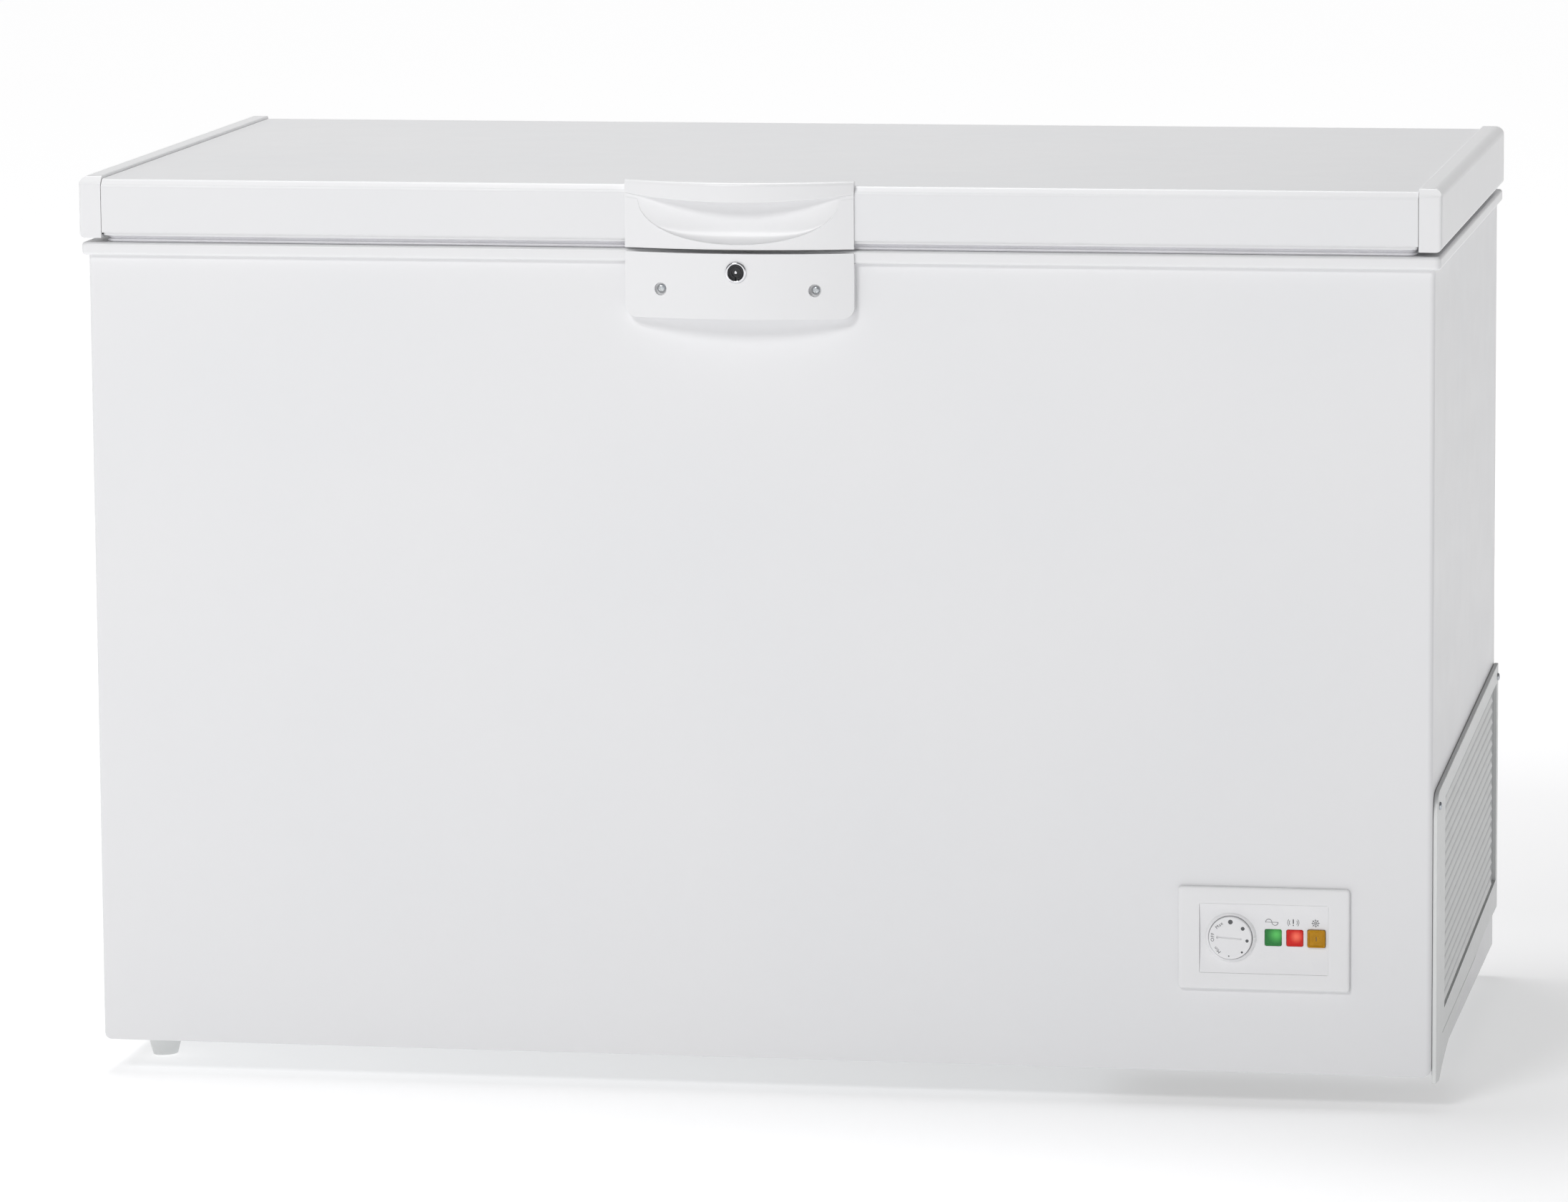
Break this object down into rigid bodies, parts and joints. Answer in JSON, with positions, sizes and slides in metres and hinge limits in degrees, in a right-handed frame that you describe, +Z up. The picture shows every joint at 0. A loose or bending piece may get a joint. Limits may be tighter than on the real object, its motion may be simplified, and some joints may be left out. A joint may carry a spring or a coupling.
{
  "type": "chest freezer",
  "caption": "White chest freezer with a lift-up lid on sprung hinges, bowed handle, key lock, corner thermostat panel, side air grille and hanging wire basket.",
  "frame": {"origin": "centre of the overall box in plan, on the floor that the feet stand on", "axes": "+X to the right for a person facing the controls, +Y towards the back, +Z up"},
  "size_m": [1.285, 0.725, 0.862],
  "materials": {
    "body_paint": "satin",
    "moulded_white": "gloss",
    "grille_plastic": "satin",
    "liner_aluminium": "satin",
    "galvanised_steel": "satin",
    "zinc_plate": "satin",
    "chrome_trim": "polished",
    "copper_pipe": "satin",
    "black_enamel": "satin",
    "black_plastic": "satin",
    "black_rubber": "matte",
    "seal_grey": "matte",
    "foam": "matte",
    "basket_wire": "satin",
    "green_lens": "gloss",
    "red_lens": "gloss",
    "amber_plastic": "gloss",
    "marking_ink": "matte"
  },
  "bodies": {
    "cabinet": {"outer_wrap": "body_paint", "rear_panel": "body_paint", "top_frame": "moulded_white", "control_bezel": "moulded_white", "control_fascia": "moulded_white", "lock_cover": "moulded_white", "side_grille": "grille_plastic", "foot_front_left": "grille_plastic", "foot_front_right": "grille_plastic", "foot_rear_left": "grille_plastic", "foot_rear_right": "grille_plastic", "inner_liner": "liner_aluminium", "bottom_panel": "galvanised_steel", "compressor_carrier": "galvanised_steel", "thermostat": "galvanised_steel", "side_grille_screw_1": "zinc_plate", "side_grille_screw_2": "zinc_plate", "lock_cover_screw_1": "zinc_plate", "lock_cover_screw_2": "zinc_plate", "hinge_bracket_left": "zinc_plate", "hinge_bracket_right": "zinc_plate", "hinge_pin_left": "zinc_plate", "hinge_pin_right": "zinc_plate", "hinge_spring_left": "zinc_plate", "hinge_spring_right": "zinc_plate", "lock_barrel": "chrome_trim", "evaporator_coil": "copper_pipe", "condenser_coil": "copper_pipe", "suction_pipe": "copper_pipe", "discharge_pipe": "copper_pipe", "filter_dryer": "copper_pipe", "compressor": "black_enamel", "relay_cover": "black_plastic", "control_housing": "black_plastic", "fast_freeze_switch": "black_plastic", "compressor_grommet_1": "black_rubber", "compressor_grommet_2": "black_rubber", "compressor_grommet_3": "black_rubber", "compressor_grommet_4": "black_rubber", "mains_gland": "black_rubber", "insulation_foam": "foam", "power_lamp": "green_lens", "alarm_lamp": "red_lens"},
    "lid": {"lid_skin": "body_paint", "lid_end_cap_left": "moulded_white", "lid_end_cap_right": "moulded_white", "lid_foam": "foam", "lid_liner": "moulded_white", "lid_gasket": "seal_grey", "lid_handle": "moulded_white", "lock_keeper": "zinc_plate", "hinge_leaf_left": "zinc_plate", "hinge_leaf_right": "zinc_plate"},
    "pull_rod_left": {"pull_rod_left": "zinc_plate"},
    "pull_rod_right": {"pull_rod_right": "zinc_plate"},
    "knob": {"thermostat_knob": "moulded_white"},
    "lock": {"lock_cylinder": "black_plastic", "lock_cam": "zinc_plate"},
    "button": {"fast_freeze_button": "amber_plastic"},
    "basket": {"wire_basket": "basket_wire"}
  },
  "joints": [
    {"name": "lid_hinge", "type": "hinge", "parent": "cabinet", "child": "lid", "pos_m": [0, 0.343, 0.8], "axis": [-1, 0, 0], "range_deg": [0, 75]},
    {"name": "pull_rod_left_slide", "type": "slide", "parent": "cabinet", "child": "pull_rod_left", "axis": [0, 0, -1], "range_m": [0, 0.0171], "deforming": ["hinge_spring_left"]},
    {"name": "pull_rod_right_slide", "type": "slide", "parent": "cabinet", "child": "pull_rod_right", "axis": [0, 0, -1], "range_m": [0, 0.0171], "deforming": ["hinge_spring_right"]},
    {"name": "thermostat_turn", "type": "hinge", "parent": "cabinet", "child": "knob", "pos_m": [0.449, -0.3275, 0.1595], "axis": [0, -1, 0], "range_deg": [-135, 180]},
    {"name": "lock_turn", "type": "hinge", "parent": "cabinet", "child": "lock", "pos_m": [-0.01, -0.3345, 0.778], "axis": [0, -1, 0], "range_deg": [0, 90]},
    {"name": "fast_freeze_press", "type": "slide", "parent": "cabinet", "child": "button", "axis": [0, 1, 0], "range_m": [0, 0.0025], "stiffness_N_per_m": 300},
    {"name": "basket_slide", "type": "slide", "parent": "cabinet", "child": "basket", "axis": [1, 0, 0], "range_m": [-0.827, 0]}
  ],
  "couplings": [
    {"joint": "pull_rod_left_slide", "follows": "lid_hinge", "m_per_rad": 0.013022},
    {"joint": "pull_rod_right_slide", "follows": "lid_hinge", "m_per_rad": 0.013022}
  ]
}
